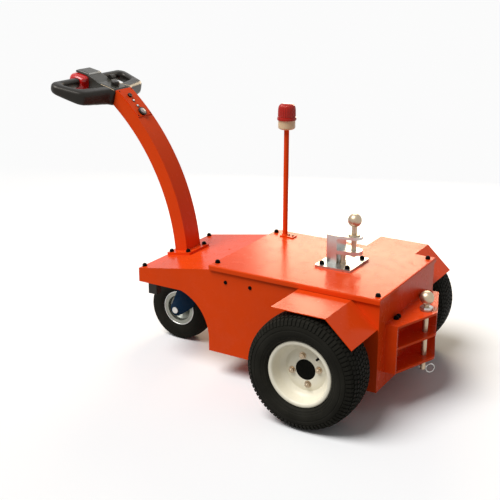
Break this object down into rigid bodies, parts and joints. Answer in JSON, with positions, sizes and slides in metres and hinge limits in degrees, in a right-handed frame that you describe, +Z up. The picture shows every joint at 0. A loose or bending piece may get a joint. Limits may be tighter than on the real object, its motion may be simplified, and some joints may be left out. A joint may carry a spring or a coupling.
{
  "type": "walk-behind electric tow tug",
  "caption": "Walk-behind electric baggage tug: box body on two drive wheels and a castor, curved tiller arm, deck and rear pin hitches with tow balls.",
  "frame": {"origin": "on the floor, under the middle of the tug's length and width", "axes": "+X forward towards the tiller, +Y to the tug's left, +Z up"},
  "size_m": [1.572, 0.95, 1.0587],
  "materials": {
    "orange_paint": "gloss orange-red paint",
    "cream_paint": "satin cream paint",
    "tyre_rubber": "matte black rubber",
    "black_steel": "satin black",
    "silver_steel": "silver steel",
    "blue_paint": "gloss blue paint",
    "zinc_steel": "zinc plated",
    "black_plastic": "moulded black plastic",
    "red_plastic": "gloss red",
    "cream_plastic": "cream plastic",
    "red_lens": "red moulded lens"
  },
  "bodies": {
    "chassis": {"axle_stub_left": "silver_steel", "axle_stub_right": "silver_steel", "battery_block": "black_steel", "beacon_base": "cream_plastic", "beacon_foot": "orange_paint", "beacon_lens": "red_lens", "beacon_pole": "orange_paint", "belly_button": "red_plastic", "castor_bulkhead": "orange_paint", "castor_mount_plate": "orange_paint", "castor_top_plate": "zinc_steel", "charge_gauge": "black_plastic", "control_panel": "orange_paint", "deck_ball_pin": "zinc_steel", "deck_base_plate": "zinc_steel", "deck_jaw": "zinc_steel", "deck_lid": "orange_paint", "drive_block": "black_steel", "fender_left": "orange_paint", "fender_right": "orange_paint", "floor_pan": "orange_paint", "grip_loop": "black_plastic", "head_housing": "black_plastic", "hitch_ball_pin": "zinc_steel", "hitch_cheek_left": "orange_paint", "hitch_cheek_right": "orange_paint", "hitch_clip": "zinc_steel", "hitch_shelf_lower": "orange_paint", "hitch_shelf_middle": "orange_paint", "hitch_shelf_upper": "orange_paint", "horn": "black_plastic", "key_switch": "black_plastic", "lid_rail": "orange_paint", "neck_knob": "black_plastic", "nose_cover": "orange_paint", "nose_front_plate": "orange_paint", "rear_panel": "orange_paint", "side_panel_left": "orange_paint", "side_panel_right": "orange_paint", "thumb_lever": "black_plastic", "tiller_arm": "orange_paint", "tiller_flange": "orange_paint"},
    "drive_wheel_left": {"drive_tyre_left": "tyre_rubber", "drive_rim_left": "cream_paint", "drive_hub_left": "black_steel"},
    "drive_wheel_right": {"drive_tyre_right": "tyre_rubber", "drive_rim_right": "cream_paint", "drive_hub_right": "black_steel"},
    "castor_swivel": {"castor_fork": "blue_paint", "castor_axle": "zinc_steel"},
    "castor_wheel": {"castor_rim": "silver_steel", "castor_tyre": "tyre_rubber"}
  },
  "joints": [
    {"name": "drive_left_spin", "type": "hinge", "parent": "chassis", "child": "drive_wheel_left", "pos_m": [-0.48998, 0.3925, 0.204], "axis": [0, 1, 0], "continuous": true},
    {"name": "drive_right_spin", "type": "hinge", "parent": "chassis", "child": "drive_wheel_right", "pos_m": [-0.48998, -0.3925, 0.204], "axis": [0, 1, 0], "continuous": true},
    {"name": "castor_steer", "type": "hinge", "parent": "chassis", "child": "castor_swivel", "pos_m": [0.22202, 0, 0.289], "axis": [0, 0, 1], "continuous": true},
    {"name": "castor_spin", "type": "hinge", "parent": "castor_swivel", "child": "castor_wheel", "pos_m": [0.28802, 0, 0.132], "axis": [0, 1, 0], "continuous": true}
  ]
}
